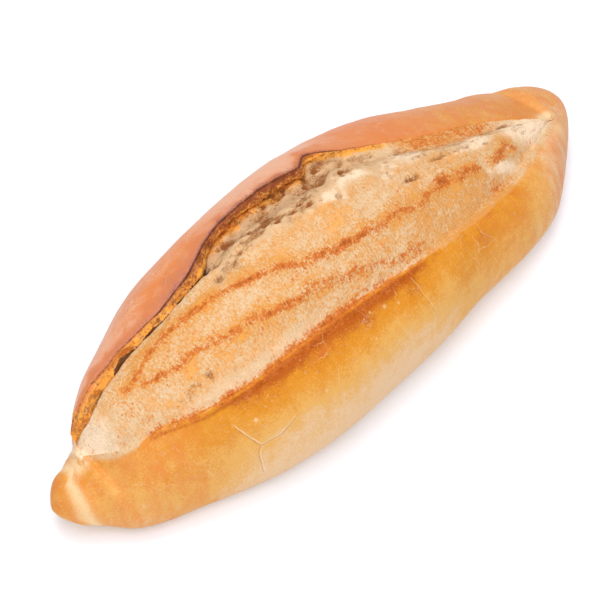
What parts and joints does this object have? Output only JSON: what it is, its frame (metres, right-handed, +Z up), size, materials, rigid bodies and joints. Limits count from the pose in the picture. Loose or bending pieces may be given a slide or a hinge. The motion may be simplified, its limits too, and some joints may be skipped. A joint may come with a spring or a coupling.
{
  "type": "white bread loaf",
  "caption": "Spindle-shaped white bread loaf with a long slash, a lifted ear of crust, a pale torn bloom and a flat base to rest on.",
  "frame": {"origin": "middle of the flat base the loaf rests on", "axes": "+X along the loaf towards its blunt tip, +Y across towards the flank with the lifted ear, +Z up from the base"},
  "size_m": [0.28, 0.0972, 0.0739],
  "materials": {
    "crust": "matte baked crust"
  },
  "bodies": {
    "root": {"loaf": "crust"}
  },
  "joints": []
}
